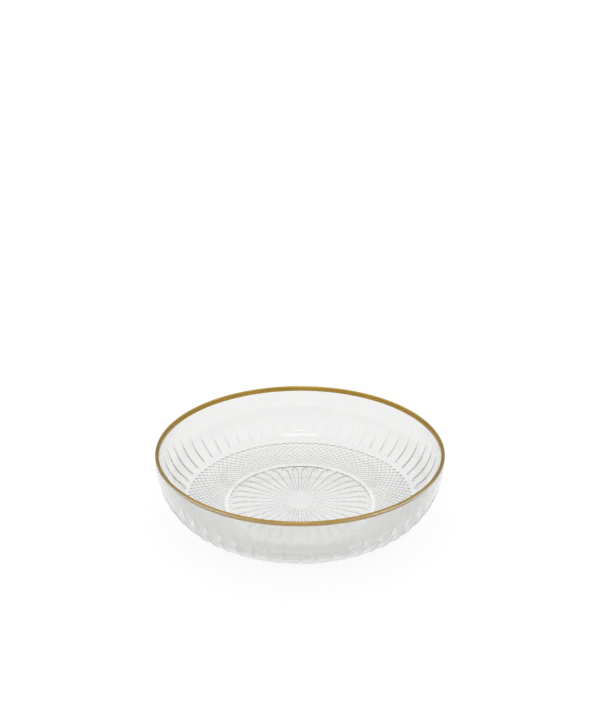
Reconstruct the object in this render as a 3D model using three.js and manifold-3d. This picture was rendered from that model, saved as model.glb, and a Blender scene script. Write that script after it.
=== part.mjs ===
// A shallow pressed-glass serving bowl with a fired gilt lip.
// Millimetres, +Z up. The origin is the centre of the foot ring, on the table.
//
// The bowl is one pressing. Its inside is smooth, and its pattern is on the outside: pointed arches
// under the base, a bare zone that carries fine diamond cutting, and shallow flutes up the wall.
// The gilding is a thin skin of gold over the lip.
import * as THREE from 'three';
import { mergeVertices } from 'three/addons/utils/BufferGeometryUtils.js';
import Module from 'manifold-3d';

// Rim and wall
const RIM_RADIUS = 100.0; // outside of the glass lip
const GLASS_HEIGHT = 49.5; // table to the crown of the glass lip
const LIP_THICKNESS = 2.4;
const OUTER_UPRIGHT = 28.6; // how far down the upright part of the wall's outside pulls its curve
const INNER_UPRIGHT = 26.0; // the same, inside
const OUTER_BELLY = 13.0; // how far in from the rim the belly's outside turns down to the base
const INNER_BELLY = 8.6; // the same, inside, from the lip's inner edge
const BELLY_LIFT = 1.6; // rise of the belly's outside over the table before it turns up

// Base
const FOOT_OUTER_RADIUS = 53.0;
const FOOT_WIDTH = 1.6;
const FOOT_SLOPE = 2.4; // run of the slope from the foot's inner edge up to the recess
const UNDERSIDE_HEIGHT = 0.7; // recess inside the foot ring
const BASE_THICKNESS = 7.3; // glass between the recess and the smooth floor
const FLOOR_INSET = 5.0; // flat floor's edge, in from the foot ring's outside

// Pattern
const FLUTE_COUNT = 56;
const FLUTE_BOTTOM = 9.0; // height where a flute starts
const FLUTE_START = 2.4; // rise over which it reaches its full depth
const FLUTE_CLEAR = 10.3; // plain glass between the faded flutes and the lip's round
const FLUTE_DEPTH = 1.1;
const ARCH_COUNT = 36;
const ARCH_CLEAR = 0.4; // between the arch tips and the recess's edge
const ARCH_TIP_LENGTH = 6.0; // pointed part of an arch
const ARCH_ROOT_RADIUS = 11.0;
const ARCH_FILL = 0.7; // share of the pitch that an arch takes at its shoulder
const ARCH_ROOT_FILL = 0.3; // the same at its narrow root
const ARCH_DEPTH = 0.6;

// Gilding
const GILT_GAP = 0.2; // clearance between the gold skin and the glass
const GILT_THICKNESS = 0.3;
const GILT_OUTSIDE_ANGLE = 42; // degrees up the outside of the lip's round, where the gold starts
const GILT_INSIDE_DROP = 2.0; // how far the gold runs below the lip's round, inside

// Fineness
const TURN_STEPS = FLUTE_COUNT * 2; // a ridge and a valley for each flute
const BELLY_STEPS = 5;
const FLUTED_STEPS = 6;
const INNER_STEPS = 8;
const LIP_STEPS = 4;
const ARCH_CURVE_STEPS = 3;

const lipRadius = LIP_THICKNESS / 2;
const springHeight = GLASS_HEIGHT - lipRadius; // where the lip's round starts
const lipCentre = new THREE.Vector2(RIM_RADIUS - lipRadius, springHeight);
const lipInnerRadius = RIM_RADIUS - LIP_THICKNESS;
const footInnerRadius = FOOT_OUTER_RADIUS - FOOT_WIDTH;
const recessRadius = footInnerRadius - FOOT_SLOPE;
const floorHeight = UNDERSIDE_HEIGHT + BASE_THICKNESS;
const fluteTop = springHeight - FLUTE_CLEAR;

const wasm = await Module();
wasm.setup();

function toSolid(geometry) {
  const bare = geometry.clone();
  bare.deleteAttribute('normal');
  bare.deleteAttribute('uv');
  const merged = mergeVertices(bare, 1e-4);
  return new wasm.Manifold(new wasm.Mesh({
    numProp: 3,
    vertProperties: new Float32Array(merged.attributes.position.array),
    triVerts: new Uint32Array(merged.index.array),
  }));
}

function toGeometry(solid) {
  const mesh = solid.getMesh();
  const geometry = new THREE.BufferGeometry();
  geometry.setAttribute('position', new THREE.BufferAttribute(mesh.vertProperties, 3));
  geometry.setIndex(new THREE.BufferAttribute(mesh.triVerts, 1));
  geometry.computeVertexNormals();
  return geometry;
}

// The wall's outside, from the foot ring up to the lip's round.
const outerWall = new THREE.CubicBezierCurve(
  new THREE.Vector2(FOOT_OUTER_RADIUS, 0),
  new THREE.Vector2(RIM_RADIUS - OUTER_BELLY, BELLY_LIFT),
  new THREE.Vector2(RIM_RADIUS, springHeight - OUTER_UPRIGHT),
  new THREE.Vector2(RIM_RADIUS, springHeight),
);

// The wall's inside, from the lip's round down to the floor.
const innerWall = new THREE.CubicBezierCurve(
  new THREE.Vector2(lipInnerRadius, springHeight),
  new THREE.Vector2(lipInnerRadius, springHeight - INNER_UPRIGHT),
  new THREE.Vector2(lipInnerRadius - INNER_BELLY, floorHeight),
  new THREE.Vector2(FOOT_OUTER_RADIUS - FLOOR_INSET, floorHeight),
);

// How far along the outer wall's curve a height is reached, by halving.
function shareAtHeight(height) {
  let low = 0;
  let high = 1;
  while (high - low > 1e-6) {
    const middle = (low + high) / 2;
    if (outerWall.getPoint(middle).y < height) {
      low = middle;
    } else {
      high = middle;
    }
  }
  return low;
}

// Even shares of a curve from one place to another, both ends kept.
function stepsBetween(from, to, count) {
  return Array.from({ length: count + 1 }, (_, step) => from + ((to - from) * step) / count);
}

// The outer wall as rows of { point, normal, fluteDepth }.
function wallRows() {
  const fluteBottom = shareAtHeight(FLUTE_BOTTOM);
  const fluteFull = shareAtHeight(FLUTE_BOTTOM + FLUTE_START);
  const shares = [
    ...stepsBetween(0, fluteBottom, BELLY_STEPS),
    ...stepsBetween(fluteFull, 1, FLUTED_STEPS),
  ];
  return shares.map((share) => {
    const slope = outerWall.getTangent(share);
    const point = outerWall.getPoint(share);
    const cut = share >= fluteFull && point.y < fluteTop;
    const fade = (fluteTop - point.y) / (fluteTop - FLUTE_BOTTOM);
    return {
      point,
      normal: new THREE.Vector2(slope.y, -slope.x),
      fluteDepth: cut ? FLUTE_DEPTH * fade : 0,
    };
  });
}

// A round over the lip, from an angle on its outside to its inside, about the lip's centre.
function lipArc(radius, startAngle = 0) {
  return stepsBetween(startAngle, Math.PI, LIP_STEPS).map((angle) => new THREE.Vector2(
    lipCentre.x + radius * Math.cos(angle),
    lipCentre.y + radius * Math.sin(angle),
  ));
}

// A closed (radius, height) outline turned about Z.
function turned(outline) {
  const geometry = new THREE.LatheGeometry(outline, TURN_STEPS);
  geometry.rotateX(Math.PI / 2);
  return geometry;
}

// Sinks every second column of the turned wall, so that each pair of columns is one flute.
function sinkFlutes(geometry, outline, rows, firstRow) {
  const position = geometry.attributes.position;
  for (let vertex = 0; vertex < position.count; vertex += 1) {
    const column = Math.floor(vertex / outline.length);
    const row = rows[(vertex % outline.length) - firstRow];
    if (row && column % 2 === 1) {
      const inward = (row.normal.x * row.fluteDepth) / row.point.x;
      const x = position.getX(vertex);
      const y = position.getY(vertex);
      const z = position.getZ(vertex);
      position.setXYZ(vertex, x - x * inward, y - y * inward, z - row.normal.y * row.fluteDepth);
    }
  }
}

function pressedBlank() {
  const foot = [
    new THREE.Vector2(0, UNDERSIDE_HEIGHT),
    new THREE.Vector2(recessRadius, UNDERSIDE_HEIGHT),
    new THREE.Vector2(footInnerRadius, 0),
  ];
  const rows = wallRows();
  const outline = [
    ...foot,
    ...rows.map((row) => row.point),
    ...lipArc(lipRadius).slice(1),
    ...innerWall.getPoints(INNER_STEPS).slice(1),
    new THREE.Vector2(0, floorHeight),
  ];
  const geometry = turned(outline);
  sinkFlutes(geometry, outline, rows, foot.length);
  return toSolid(geometry);
}

// One pointed arch of the base, its tip outward along X.
function archShape() {
  const pitch = (2 * Math.PI) / ARCH_COUNT;
  const tip = recessRadius - ARCH_CLEAR;
  const shoulder = tip - ARCH_TIP_LENGTH;
  const halfWidth = (ARCH_FILL * pitch * shoulder) / 2;
  const halfRoot = (ARCH_ROOT_FILL * pitch * ARCH_ROOT_RADIUS) / 2;
  const swell = (shoulder + tip) / 2;
  const shape = new THREE.Shape();
  shape.moveTo(ARCH_ROOT_RADIUS, -halfRoot);
  shape.lineTo(shoulder, -halfWidth);
  shape.quadraticCurveTo(swell, -halfWidth, tip, 0);
  shape.quadraticCurveTo(swell, halfWidth, shoulder, halfWidth);
  shape.lineTo(ARCH_ROOT_RADIUS, halfRoot);
  shape.closePath();
  return shape;
}

// The ring of arches, pressed up into the underside and turned by half a pitch, so that the front
// falls between two arches.
function archRing() {
  const cutter = new THREE.ExtrudeGeometry(archShape(), {
    depth: 2 * ARCH_DEPTH,
    bevelEnabled: false,
    curveSegments: ARCH_CURVE_STEPS,
  });
  cutter.translate(0, 0, UNDERSIDE_HEIGHT - ARCH_DEPTH);
  const pitch = (2 * Math.PI) / ARCH_COUNT;
  cutter.rotateZ(pitch / 2);
  let ring = toSolid(cutter);
  for (let arch = 1; arch < ARCH_COUNT; arch += 1) {
    cutter.rotateZ(pitch);
    ring = ring.add(toSolid(cutter));
  }
  return ring;
}

// The gold skin: a thin channel over the lip, closed on itself.
function giltSkin() {
  const near = lipRadius + GILT_GAP;
  const far = near + GILT_THICKNESS;
  const start = THREE.MathUtils.degToRad(GILT_OUTSIDE_ANGLE);
  const lowerEdge = (radius) => new THREE.Vector2(lipCentre.x - radius, lipCentre.y - GILT_INSIDE_DROP);
  const outline = [
    ...lipArc(far, start),
    lowerEdge(far),
    lowerEdge(near),
    ...lipArc(near, start).reverse(),
    lipArc(far, start)[0],
  ];
  return turned(outline);
}

const glassBowl = new THREE.Mesh(
  toGeometry(pressedBlank().subtract(archRing())),
  new THREE.MeshStandardMaterial({ color: 0xeef1ee, roughness: 0.05, metalness: 0 }),
);
glassBowl.name = 'glass_bowl';

const giltRim = new THREE.Mesh(
  giltSkin(),
  new THREE.MeshStandardMaterial({ color: 0xa87c34, roughness: 0.3, metalness: 1 }),
);
giltRim.name = 'gilt_rim';

const bowl = new THREE.Group();
bowl.add(glassBowl, giltRim);

export default bowl;
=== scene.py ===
"""A clear pressed-glass serving bowl with a fired gilt lip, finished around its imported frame.

Metres, +Z up, the foot ring's centre at the origin. The bowl is one pressing: its inside is smooth,
and the mould has pressed three patterns into its outside, which show through the glass: a rosette
of pointed arches under the base, a band of diamonds round it and shallow flutes up the wall.
"""

from bisect import bisect_left
from math import atan2, ceil, cos, hypot, pi, radians, sin, sqrt

import bmesh
import bpy
from mathutils import Matrix, Vector
from mathutils.geometry import interpolate_bezier


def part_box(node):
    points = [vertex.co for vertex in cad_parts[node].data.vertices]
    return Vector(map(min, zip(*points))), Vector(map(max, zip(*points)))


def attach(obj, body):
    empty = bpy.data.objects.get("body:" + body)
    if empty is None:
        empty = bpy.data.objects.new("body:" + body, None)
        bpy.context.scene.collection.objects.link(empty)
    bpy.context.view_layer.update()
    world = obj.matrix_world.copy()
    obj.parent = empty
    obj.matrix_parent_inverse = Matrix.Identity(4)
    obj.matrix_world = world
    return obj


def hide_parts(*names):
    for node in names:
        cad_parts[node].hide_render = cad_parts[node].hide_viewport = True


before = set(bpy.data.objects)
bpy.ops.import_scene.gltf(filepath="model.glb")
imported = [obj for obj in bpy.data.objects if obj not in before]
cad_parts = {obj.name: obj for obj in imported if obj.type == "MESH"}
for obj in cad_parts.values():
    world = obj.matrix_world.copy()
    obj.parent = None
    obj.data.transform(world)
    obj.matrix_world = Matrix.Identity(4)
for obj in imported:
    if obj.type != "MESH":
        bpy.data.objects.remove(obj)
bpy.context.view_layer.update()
glass_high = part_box("glass_bowl")[1]

MM = 0.001

# The lip, from the frame
RIM_RADIUS = glass_high[0]
LIP_TOP = glass_high[2]
LIP_RADIUS = 1.2 * MM
SPRING = LIP_TOP - LIP_RADIUS  # height where the wall ends and the lip's round begins
LIP_CENTRE = RIM_RADIUS - LIP_RADIUS
INNER_RADIUS = RIM_RADIUS - 2 * LIP_RADIUS

# The wall: how far down it stays upright, and how far in and up its belly reaches
OUTER_UPRIGHT = 28.6 * MM
INNER_UPRIGHT = 26.0 * MM
OUTER_BELLY = 13.0 * MM
INNER_BELLY = 8.6 * MM
BELLY_LIFT = 1.6 * MM

# The foot ring, the recess inside it and the floor of the bowl
FOOT_OUTER = 53.0 * MM
FOOT_INNER = 51.4 * MM
FOOT_SLOPE = 2.4 * MM
UNDERSIDE = 0.7 * MM
FLOOR = 8.0 * MM
FLOOR_RADIUS = 48.0 * MM

# The rosette: pointed arches, with their half widths as shares of the space each has
ARCHES = 36
ARCH_TIP = 48.6 * MM
ARCH_SHOULDER = 42.0 * MM
ARCH_ROOT = 8.0 * MM
ARCH_WIDE = 0.36
ARCH_NARROW = 0.24
ARCH_DEPTH = 0.75 * MM
ARCH_POINT = 1.7  # the higher, the blunter the tip
ARCH_FADE = 0.35  # share of the arch's length over which it fades in from the root

# The diamonds: columns round the bowl, and rows up it
DIAMONDS = 100
DIAMOND_ROWS = 6.5
DIAMOND_START = 54.2 * MM
DIAMOND_DEPTH = 1.25 * MM
DIAMOND_WIDE = 0.5  # how far a groove's side reaches, as a share of a diamond

# The flutes
FLUTES = 56
FLUTE_START = 7.6 * MM
FLUTE_END = 38.0 * MM
FLUTE_DEPTH = 1.3 * MM
FLUTE_ROUND = 1.2 * MM
FLUTE_RISE = 4.0 * MM
FLUTE_FADE = 0.8  # below 1, the flute keeps its depth longer

STEEP_SIDES = 4  # power of the arches' and flutes' section: the higher, the flatter its middle

# The satin outside of the wall: the height where it starts, and how softly
SATIN_FROM = 9.0 * MM
SATIN_BLEND = 4.0 * MM

# The gilding: where it starts and ends, its gap to the glass, and its thickness at edge and crown
GILT_OUTSIDE_START = radians(42)
GILT_INSIDE_DROP = 2.0 * MM
GILT_GAP = 0.02 * MM
GILT_EDGE = 0.03 * MM
GILT_CROWN = 0.20 * MM
GILT_FULLNESS = 6  # power of the skin's section: the higher, the squarer its edges

# Fineness of the meshes: steps round for each pattern's repeat or for the whole bowl
ARCH_STEPS = 14
DIAMOND_STEPS = 6
FLUTE_STEPS = 10
INNER_STEPS = 256
GILT_STEPS = 256
SECTORS = 8
CURVE_POINTS = 1200
UNDERSIDE_RINGS = 30
FOOT_RINGS = 4
FLOOR_RINGS = 12
LIP_OUTSIDE_RINGS = 4
LIP_INSIDE_RINGS = 5
LIP_SEAM = 0.25  # angle between the crown and the first ring of the inside
LIP_GILT_POINTS = 16
SEAM_STRIP = 0.6 * MM  # the glass that bridges two zones
BAND_EDGE = 0.4 * MM
FLUTE_FOOT_HEIGHT = 6.0 * MM
FINE_SPACING = 0.4 * MM
FLUTE_FOOT_SPACING = 0.6 * MM
WALL_SPACING = 1.9 * MM
GILT_SPACING = 0.1 * MM
MERGE = 1e-7
SAME_RING = 1e-6
CREASE = radians(22)  # edges sharper than this are shaded sharp
SIDE_LEAN = 0.2  # how far a normal leans out or down to count as the outside

# The camera
CAMERA_DISTANCE = 7 * RIM_RADIUS
CAMERA_RISE = radians(27.96)
CAMERA_AIM = 114.0 * MM  # height of the point over the bowl that it looks at
CAMERA_LENS = 50.15
CAMERA_SENSOR = 36

# The studio
TABLE_SIZE = 12.0
TABLE_GREY = (0.2, 0.2, 0.2, 1)
TABLE_ROUGHNESS = 0.9
TABLE_GLOW = 0.84
WHITE = (1, 1, 1, 1)
LOW_SKY = (0.1, 0.3)  # sine of the angle above the horizon, and how bright
HIGH_SKY = (0.75, 0.95)
LAMP_HEIGHT = 1.2
SOFTBOX_BACK = 0.1
SOFTBOX_SIZE = (0.28, 0.16)
SOFTBOX_POWER = 0.3
LAMPS = 2
LAMP_FRONT = -0.25
LAMP_SPACING = 0.045
LAMP_SHIFT = -0.012
LAMP_SIZE = (0.03, 0.03)
LAMP_POWER = 0.05
GLASS_BOUNCES = 32
GOLD_BOUNCES = 16


# --- outlines -------------------------------------------------------------------------------

def wall_curve(points, count):
    """Points along a wall's curve, from its four control points (radius, height), its end exact."""
    start, out, turn, end = [Vector(p) for p in points]
    return [Vector(p) for p in interpolate_bezier(start, out, turn, end, count)[:-1]] + [end]


def outer_wall():
    """The wall's outside, from the foot ring's outer edge up to the lip's round."""
    return wall_curve([
        (FOOT_OUTER, 0),
        (RIM_RADIUS - OUTER_BELLY, BELLY_LIFT),
        (RIM_RADIUS, SPRING - OUTER_UPRIGHT),
        (RIM_RADIUS, SPRING),
    ], CURVE_POINTS)


def inner_wall():
    """The wall's inside, from the lip's round down to the floor."""
    return wall_curve([
        (INNER_RADIUS, SPRING),
        (INNER_RADIUS, SPRING - INNER_UPRIGHT),
        (INNER_RADIUS - INNER_BELLY, FLOOR),
        (FLOOR_RADIUS, FLOOR),
    ], CURVE_POINTS)


def lip_round(start, end, count):
    """Points on the lip's round, from one angle to another; 0 is outside and pi is inside."""
    turns = [start + (end - start) * i / count for i in range(count + 1)]
    return [Vector((LIP_CENTRE + LIP_RADIUS * cos(t), SPRING + LIP_RADIUS * sin(t))) for t in turns]


def line(start, end, count):
    """Points on a straight line, both ends kept."""
    start, end = Vector(start), Vector(end)
    return [start.lerp(end, i / count) for i in range(count + 1)]


def even(points, spacing):
    """The same path with its points evenly spaced, both ends kept."""
    lengths = [0.0]
    for a, b in zip(points, points[1:]):
        lengths.append(lengths[-1] + (b - a).length)
    count = max(1, ceil(lengths[-1] / spacing))
    out = []
    k = 0
    for i in range(count + 1):
        want = lengths[-1] * i / count
        while k < len(lengths) - 2 and lengths[k + 1] < want:
            k += 1
        step = lengths[k + 1] - lengths[k]
        out.append(points[k].lerp(points[k + 1], min(1.0, (want - lengths[k]) / step)))
    return out


def joined(*paths):
    """Paths end to end, with the shared points written once."""
    out = list(paths[0])
    for path in paths[1:]:
        out += [p for p in path if (p - out[-1]).length > MERGE]
    return out


def diamond_rings():
    """Rings up the wall for the diamond band, and where on the wall it ends.

    A diamond is as tall as it is wide, so the rings come further apart as the bowl widens.
    """
    k = next(k for k, point in enumerate(wall) if point.x >= DIAMOND_START)
    rings = [wall[k].copy()]
    grown = 0.0
    total = round(DIAMOND_ROWS * DIAMOND_STEPS)
    while len(rings) <= total:
        a, b = wall[k], wall[k + 1]
        rise = (b - a).length / ((a.x + b.x) / 2) * DIAMONDS / (2 * pi)
        target = len(rings) / DIAMOND_STEPS
        if grown + rise >= target:
            rings.append(a.lerp(b, (target - grown) / rise))
        else:
            grown += rise
            k += 1
    return rings, k


wall = outer_wall()
band_rings, band_end = diamond_rings()
band_radii = [p.x for p in band_rings]


# --- the pressed patterns -------------------------------------------------------------------

def ease(x):
    """0 to 1 with a soft start and end."""
    x = min(1.0, max(0.0, x))
    return x * x * (3 - 2 * x)


def arch_depth(angle, radius):
    """How far the rosette is pressed in: pointed arches with steep sides and a flat middle."""
    if radius > ARCH_TIP:
        return 0.0
    across = abs((angle * ARCHES / (2 * pi)) % 1 - 0.5)
    if radius > ARCH_SHOULDER:
        along = (radius - ARCH_SHOULDER) / (ARCH_TIP - ARCH_SHOULDER)
        half = ARCH_WIDE * (1 - along ** ARCH_POINT)
    else:
        along = (radius - ARCH_ROOT) / (ARCH_SHOULDER - ARCH_ROOT)
        half = ARCH_NARROW + (ARCH_WIDE - ARCH_NARROW) * max(0.0, along)
    if across >= half:
        return 0.0
    fade = ease((radius - ARCH_ROOT) / (ARCH_FADE * (ARCH_SHOULDER - ARCH_ROOT)))
    return ARCH_DEPTH * fade * (1 - (across / half) ** STEEP_SIDES)


def band_row(radius):
    """Where a radius on the outer wall falls in the diamond band, in diamonds up from its start."""
    if radius < band_radii[0] - MERGE or radius > band_radii[-1] + MERGE:
        return -1.0
    k = min(len(band_radii) - 2, max(0, bisect_left(band_radii, radius) - 1))
    share = (radius - band_radii[k]) / (band_radii[k + 1] - band_radii[k])
    return (k + share) / DIAMOND_STEPS


def diamond_depth(angle, row):
    """How far the grooves between the diamonds are pressed in: deepest at the band's outer edge."""
    if row < 0 or row > DIAMOND_ROWS:
        return 0.0
    column = angle * DIAMONDS / (2 * pi)
    nearest = 0.5
    for lean in (column + row, column - row):
        share = lean % 1
        nearest = min(nearest, share, 1 - share)
    start_share = (DIAMOND_START / band_radii[-1]) ** 2
    depth = DIAMOND_DEPTH * start_share ** (1 - row / DIAMOND_ROWS)
    return depth * (1 - sin(min(1.0, nearest / DIAMOND_WIDE) * pi / 2))


def flute_depth(angle, height):
    """How far a flute is sunk: round-ended at its foot and fading out upwards."""
    across = 2 * abs((angle * FLUTES / (2 * pi)) % 1 - 0.5)
    foot = FLUTE_START + FLUTE_ROUND * (1 - sqrt(max(0.0, 1 - across * across)))
    rise = ease((height - foot) / FLUTE_RISE)
    fade = max(0.0, (FLUTE_END - height) / (FLUTE_END - FLUTE_START)) ** FLUTE_FADE
    return FLUTE_DEPTH * (1 - across ** STEEP_SIDES) * rise * fade


def pressed_depth(place):
    """How far the mould has pressed in the outside of the glass at a place on it."""
    angle = atan2(place.x, -place.y) % (2 * pi)
    radius = hypot(place.x, place.y)
    if radius < FOOT_INNER - FOOT_SLOPE / 2:
        return arch_depth(angle, radius)
    if radius <= band_radii[-1] + MERGE:
        return diamond_depth(angle, band_row(radius))
    return flute_depth(angle, place.z)


# --- meshes ---------------------------------------------------------------------------------

def spun(outline, steps):
    """A new bmesh: an open outline of (radius, height) turned all the way round in equal sectors."""
    bm = bmesh.new()
    verts = [bm.verts.new((0.0, -p.x, p.y)) for p in outline]
    edges = [bm.edges.new(pair) for pair in zip(verts, verts[1:])]
    bmesh.ops.spin(bm, geom=verts + edges, cent=(0, 0, 0), axis=(0, 0, 1), dvec=(0, 0, 0),
                   angle=2 * pi / SECTORS, steps=steps // SECTORS, use_merge=False, use_duplicate=False)
    sector = bm.verts[:] + bm.edges[:] + bm.faces[:]
    for k in range(1, SECTORS):
        copy = bmesh.ops.duplicate(bm, geom=sector)["geom"]
        bmesh.ops.rotate(bm, verts=[g for g in copy if isinstance(g, bmesh.types.BMVert)],
                         cent=(0, 0, 0), matrix=Matrix.Rotation(2 * pi * k / SECTORS, 3, "Z"))
    bmesh.ops.remove_doubles(bm, verts=bm.verts, dist=MERGE)
    return bm


def ring_at(bm, point):
    """The open edges that run round at one (radius, height)."""
    def close(v):
        return abs(hypot(v.co.x, v.co.y) - point[0]) < SAME_RING and abs(v.co.z - point[1]) < SAME_RING
    return [e for e in bm.edges if e.is_boundary and close(e.verts[0]) and close(e.verts[1])]


def add(bm, other):
    """Puts another bmesh's mesh into this one."""
    carrier = bpy.data.meshes.new("carrier")
    other.to_mesh(carrier)
    other.free()
    bm.from_mesh(carrier)
    bpy.data.meshes.remove(carrier)


def placed(name, data):
    """A mesh, light or camera as a new object of the scene."""
    piece = bpy.data.objects.new(name, data)
    bpy.context.scene.collection.objects.link(piece)
    return piece


def finished(bm, name):
    """The bmesh as a smooth-shaded object of the scene, with its creases sharp."""
    for face in bm.faces:
        face.smooth = True
    for edge in bm.edges:
        edge.smooth = edge.calc_face_angle(0) < CREASE
    mesh = bpy.data.meshes.new(name)
    bm.to_mesh(mesh)
    bm.free()
    return placed(name, mesh)


# --- the two pieces -------------------------------------------------------------------------

def faces_out(vert):
    """True on the outside of the bowl and under it."""
    outward = vert.normal.x * vert.co.x + vert.normal.y * vert.co.y
    return vert.normal.z < -SIDE_LEAN or outward > SIDE_LEAN * hypot(vert.co.x, vert.co.y)


def split_along_grooves(bm):
    """Cuts each square of the diamond band along its groove, so that the grooves run straight."""
    top = band_rings[-1].y
    for face in list(bm.faces):
        middle = face.calc_center_median()
        in_band = band_radii[0] < hypot(middle.x, middle.y) < band_radii[-1] and middle.z < top
        if in_band and len(face.verts) == 4:
            a, b, c, d = face.verts
            depths = [pressed_depth(v.co) for v in (a, b, c, d)]
            pair = (a, c) if depths[0] + depths[2] > depths[1] + depths[3] else (b, d)
            bmesh.utils.face_split(face, *pair)


def glass_bowl():
    """The pressing: zones spun as finely as their pattern needs, bridged, then pressed in."""
    slope_top = (FOOT_INNER - FOOT_SLOPE, UNDERSIDE)
    under = line((0, UNDERSIDE), (slope_top[0] - SEAM_STRIP, UNDERSIDE), UNDERSIDE_RINGS)
    foot = joined(
        line(slope_top, (FOOT_INNER, 0), FOOT_RINGS),
        even([p for p in wall if p.x < DIAMOND_START], FINE_SPACING),
        band_rings,
        [p for p in wall[band_end + 1:] if p.x < band_radii[-1] + BAND_EDGE][-1:],
    )
    rest = [p for p in wall if p.x > foot[-1].x + SEAM_STRIP]
    knee = next(k for k, p in enumerate(rest) if p.y > FLUTE_START + FLUTE_FOOT_HEIGHT)
    fluted = joined(
        even(rest[:knee + 1], FLUTE_FOOT_SPACING),
        even(rest[knee:], WALL_SPACING),
        lip_round(0, pi / 2, LIP_OUTSIDE_RINGS),
    )
    inside = joined(
        lip_round(pi / 2 + LIP_SEAM, pi, LIP_INSIDE_RINGS),
        even(inner_wall(), WALL_SPACING),
        line((FLOOR_RADIUS, FLOOR), (0, FLOOR), FLOOR_RINGS),
    )
    bm = spun(under, ARCHES * ARCH_STEPS)
    for zone, steps, seam in (
        (foot, DIAMONDS * DIAMOND_STEPS, under[-1]),
        (fluted, FLUTES * FLUTE_STEPS, foot[-1]),
        (inside, INNER_STEPS, fluted[-1]),
    ):
        add(bm, spun(zone, steps))
        bmesh.ops.bridge_loops(bm, edges=ring_at(bm, seam) + ring_at(bm, zone[0]))
    bmesh.ops.recalc_face_normals(bm, faces=bm.faces)
    bm.normal_update()
    mould_side = bm.verts.layers.float.new("mould_side")
    moves = [(v, v.normal * pressed_depth(v.co)) for v in bm.verts if faces_out(v)]
    split_along_grooves(bm)
    for vert, move in moves:
        vert[mould_side] = ease((vert.co.z - SATIN_FROM) / SATIN_BLEND)
        vert.co -= move
    return finished(bm, "pressed_glass_bowl")


def gilt_rim():
    """The gold skin over the lip: thin at its edges and fullest over the crown."""
    lip = lip_round(GILT_OUTSIDE_START, pi, LIP_GILT_POINTS)
    down_inside = [p for p in inner_wall() if p.y > SPRING - GILT_INSIDE_DROP]
    glass = even(joined(lip, down_inside), GILT_SPACING)
    last = len(glass) - 1
    under = []
    over = []
    for k, point in enumerate(glass):
        along = (glass[min(last, k + 1)] - glass[max(0, k - 1)]).normalized()
        out = Vector((along.y, -along.x))
        fullness = sqrt(max(0.0, 1 - abs(2 * k / last - 1) ** GILT_FULLNESS))
        under.append(point + out * GILT_GAP)
        over.append(point + out * (GILT_GAP + GILT_EDGE + (GILT_CROWN - GILT_EDGE) * fullness))
    bm = spun(over + under[::-1] + over[:1], GILT_STEPS)
    bmesh.ops.recalc_face_normals(bm, faces=bm.faces)
    return finished(bm, "fired_gilt_rim")


# --- materials ------------------------------------------------------------------------------

def node_maker(tree):
    """A function that adds a node to this tree, with its settings made and its sockets filled."""
    def node(kind, values=None, **settings):
        made = tree.nodes.new(kind)
        for key, value in settings.items():
            setattr(made, key, value)
        for socket, value in (values or {}).items():
            if isinstance(value, bpy.types.NodeSocket):
                tree.links.new(value, made.inputs[socket])
            else:
                made.inputs[socket].default_value = value
        return made
    return node


def new_material(name):
    """A material with its Principled shader, a maker of nodes and a linker to the shader."""
    material = bpy.data.materials.new(name)
    material.use_nodes = True
    tree = material.node_tree
    shader = tree.nodes["Principled BSDF"]

    def link(output, socket):
        tree.links.new(output, shader.inputs[socket])

    return material, shader, node_maker(tree), link


def spread(node, noise, low, high):
    """The middle of a noise's range, mapped to run from low to high."""
    return node("ShaderNodeMapRange", {
        "Value": noise.outputs["Fac"], "From Min": 0.3, "From Max": 0.7, "To Min": low, "To Max": high,
    }).outputs["Result"]


def clear_glass():
    """Fire-polished pressed glass: clear and faintly wavy, with a satin outside up the wall."""
    material, shader, node, link = new_material("clear_pressed_glass")
    shader.inputs["Transmission Weight"].default_value = 1.0
    shader.inputs["IOR"].default_value = 1.52
    place = node("ShaderNodeTexCoord").outputs["Object"]
    waves = node("ShaderNodeTexNoise", {"Vector": place, "Scale": 60.0, "Detail": 2.0})
    colour = node("ShaderNodeMix", {
        "Factor": spread(node, waves, 0.0, 1.0),
        "A": (0.87, 0.875, 0.865, 1),
        "B": (0.89, 0.895, 0.885, 1),
    }, data_type="RGBA")
    link(colour.outputs["Result"], "Base Color")
    satin_roughness = 0.16
    clear_roughness = 0.03
    side = node("ShaderNodeAttribute", attribute_name="mould_side").outputs["Fac"]
    satin = node("ShaderNodeMath", {0: side, 1: satin_roughness, 2: clear_roughness},
                 operation="MULTIPLY_ADD")
    uneven = node("ShaderNodeMath", {0: satin.outputs[0], 1: spread(node, waves, 0.8, 1.2)},
                  operation="MULTIPLY")
    link(uneven.outputs[0], "Roughness")
    bump = node("ShaderNodeBump", {"Height": waves.outputs["Fac"], "Strength": 0.05, "Distance": 0.0005})
    link(bump.outputs["Normal"], "Normal")
    return material


def fired_gold():
    """Bright gold fired on the lip: warm, cloudy and a little uneven in its shine."""
    material, shader, node, link = new_material("fired_gold")
    shader.inputs["Metallic"].default_value = 1.0
    place = node("ShaderNodeTexCoord").outputs["Object"]
    cloud = node("ShaderNodeTexNoise", {"Vector": place, "Scale": 45.0, "Detail": 4.0})
    colour = node("ShaderNodeMix", {
        "Factor": cloud.outputs["Fac"],
        "A": (0.38, 0.225, 0.03, 1),
        "B": (0.60, 0.39, 0.09, 1),
    }, data_type="RGBA")
    link(colour.outputs["Result"], "Base Color")
    link(spread(node, cloud, 0.1, 0.22), "Roughness")
    bump = node("ShaderNodeBump", {"Height": cloud.outputs["Fac"], "Strength": 0.06, "Distance": 0.0003})
    link(bump.outputs["Normal"], "Normal")
    return material


# --- studio ---------------------------------------------------------------------------------

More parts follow.
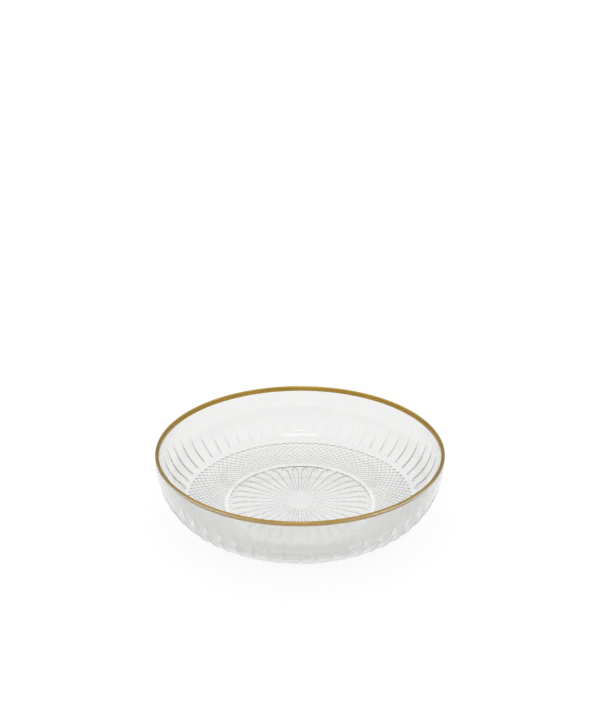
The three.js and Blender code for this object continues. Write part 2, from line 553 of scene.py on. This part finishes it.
def camera():
    """The camera, seven rim radii from the middle of the rim and 28 degrees above it."""
    data = bpy.data.cameras.new("camera")
    data.sensor_width = CAMERA_SENSOR
    data.lens = CAMERA_LENS
    piece = placed("camera", data)
    back = CAMERA_DISTANCE * cos(CAMERA_RISE)
    piece.location = (0, -back, SPRING + CAMERA_DISTANCE * sin(CAMERA_RISE))
    aim = Vector((0, 0, CAMERA_AIM)) - piece.location
    piece.rotation_euler = aim.to_track_quat("-Z", "Y").to_euler()
    bpy.context.scene.camera = piece


def table():
    """The pale surface that the bowl stands on, which glows a little so that it stays pale."""
    bm = bmesh.new()
    bmesh.ops.create_grid(bm, x_segments=1, y_segments=1, size=TABLE_SIZE)
    piece = finished(bm, "floor")
    material, shader, node, link = new_material("pale_floor")
    shader.inputs["Base Color"].default_value = TABLE_GREY
    shader.inputs["Roughness"].default_value = TABLE_ROUGHNESS
    shader.inputs["Emission Color"].default_value = WHITE
    shader.inputs["Emission Strength"].default_value = TABLE_GLOW
    piece.data.materials.append(material)


def sky():
    """A white sky, which dims towards the horizon in the glass but not behind the bowl."""
    world = bpy.data.worlds.new("studio")
    bpy.context.scene.world = world
    world.use_nodes = True
    tree = world.node_tree
    node = node_maker(tree)
    background = tree.nodes["Background"]
    background.inputs["Color"].default_value = WHITE
    direction = node("ShaderNodeTexCoord").outputs["Generated"]
    up = node("ShaderNodeSeparateXYZ", {"Vector": direction}).outputs["Z"]
    glow = node("ShaderNodeMapRange", {
        "Value": up,
        "From Min": LOW_SKY[0],
        "From Max": HIGH_SKY[0],
        "To Min": LOW_SKY[1],
        "To Max": HIGH_SKY[1],
    }, interpolation_type="SMOOTHSTEP")
    backdrop = node("ShaderNodeLightPath").outputs["Is Camera Ray"]
    shown = node("ShaderNodeMath", {0: glow.outputs["Result"], 1: backdrop}, operation="MAXIMUM")
    tree.links.new(shown.outputs[0], background.inputs["Strength"])


def soft_lamp(name, x, y, size, power):
    """A square-cornered soft lamp over the table, turned to the bowl."""
    data = bpy.data.lights.new(name, "AREA")
    data.shape = "RECTANGLE"
    data.size, data.size_y = size
    data.energy = power
    piece = placed(name, data)
    piece.location = (x, y, LAMP_HEIGHT)
    piece.rotation_euler = (-Vector(piece.location)).to_track_quat("-Z", "Y").to_euler()


def studio():
    """The table, the sky, the lamps and the light bounces that clear glass and gold need."""
    table()
    sky()
    soft_lamp("overhead_softbox", 0, SOFTBOX_BACK, SOFTBOX_SIZE, SOFTBOX_POWER)
    for k in range(LAMPS):
        soft_lamp(f"ceiling_lamp_{k + 1}", LAMP_SPACING * k + LAMP_SHIFT, LAMP_FRONT, LAMP_SIZE, LAMP_POWER)
    bpy.context.scene.view_settings.view_transform = "Standard"
    light_paths = bpy.context.scene.cycles
    light_paths.max_bounces = GLASS_BOUNCES
    light_paths.transmission_bounces = GLASS_BOUNCES
    light_paths.glossy_bounces = GOLD_BOUNCES


camera()

glass = glass_bowl()
glass.data.materials.append(clear_glass())
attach(glass, "root")
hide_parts("glass_bowl")

gilt = gilt_rim()
gilt.data.materials.append(fired_gold())
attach(gilt, "root")
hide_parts("gilt_rim")

studio()
